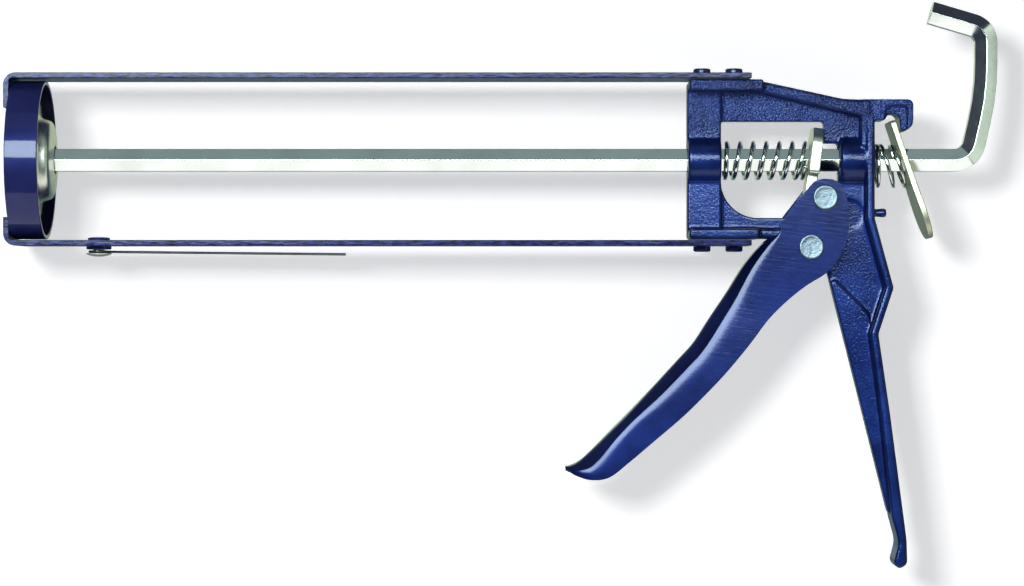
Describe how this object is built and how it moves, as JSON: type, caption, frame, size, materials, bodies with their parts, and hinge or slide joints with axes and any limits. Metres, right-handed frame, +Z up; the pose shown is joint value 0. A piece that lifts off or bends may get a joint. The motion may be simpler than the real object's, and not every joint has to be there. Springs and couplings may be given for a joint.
{
  "type": "caulking gun",
  "caption": "Open-frame caulking gun with a hexagonal thrust rod, hooked pull end, spring-loaded squeeze trigger, release lever and swing-out piercing wire.",
  "frame": {"origin": "centre of the bounding box of the whole gun at rest", "axes": "+X runs along the barrel to the rear, where the pull hook is; +Z is up, away from the grip; Y is the width of the gun"},
  "size_m": [0.3456, 0.0554, 0.1972],
  "materials": {
    "blue_enamel": "glossy dark blue enamel over steel and die-cast metal",
    "bright_zinc": "bright zinc plate with a faint green tint",
    "spring_steel": "plated spring wire"
  },
  "bodies": {
    "frame": {"upper_strap": "blue_enamel", "lower_strap": "blue_enamel", "upper_rivet_1": "blue_enamel", "upper_rivet_2": "blue_enamel", "lower_rivet_1": "blue_enamel", "lower_rivet_2": "blue_enamel", "front_ring": "blue_enamel", "body_casting": "blue_enamel", "pivot_rivet": "bright_zinc", "pierce_rivet": "bright_zinc", "pierce_washer": "blue_enamel", "drive_spring": "spring_steel", "release_spring": "spring_steel"},
    "plunger": {"piston": "bright_zinc"},
    "rod": {"thrust_rod": "bright_zinc", "piston_washer": "bright_zinc", "piston_nut": "bright_zinc"},
    "trigger": {"trigger": "blue_enamel", "pusher_rivet": "bright_zinc", "pusher_roller": "bright_zinc"},
    "drive": {"drive_plate": "bright_zinc"},
    "lever": {"release_lever": "bright_zinc"},
    "wire": {"pierce_wire": "spring_steel"}
  },
  "joints": [
    {"name": "rod_slide", "type": "slide", "parent": "frame", "child": "plunger", "axis": [1, 0, 0], "range_m": [0, 0.218]},
    {"name": "rod_turn", "type": "hinge", "parent": "plunger", "child": "rod", "pos_m": [-0.15, 0, 0.044], "axis": [1, 0, 0], "continuous": true},
    {"name": "trigger_squeeze", "type": "hinge", "parent": "frame", "child": "trigger", "pos_m": [0.1081, 0, 0.0136], "axis": [0, -1, 0], "range_deg": [0, 35], "stiffness_Nm_per_rad": 0.6, "springref_deg": -28.65, "deforming": ["drive_spring"]},
    {"name": "drive_push", "type": "slide", "parent": "frame", "child": "drive", "axis": [-1, 0, 0], "range_m": [0, 0.0115]},
    {"name": "release_press", "type": "hinge", "parent": "frame", "child": "lever", "pos_m": [0.1363, 0, 0.0573], "axis": [0, 1, 0], "range_deg": [0, 15], "stiffness_Nm_per_rad": 0.2, "springref_deg": -28.65, "deforming": ["release_spring"]},
    {"name": "wire_swing", "type": "hinge", "parent": "frame", "child": "wire", "pos_m": [-0.1402, 0, 0.012], "axis": [0, 0, 1], "range_deg": [0, 180]}
  ],
  "couplings": [
    {"joint": "drive_push", "follows": "trigger_squeeze", "m_per_rad": 0.018}
  ]
}
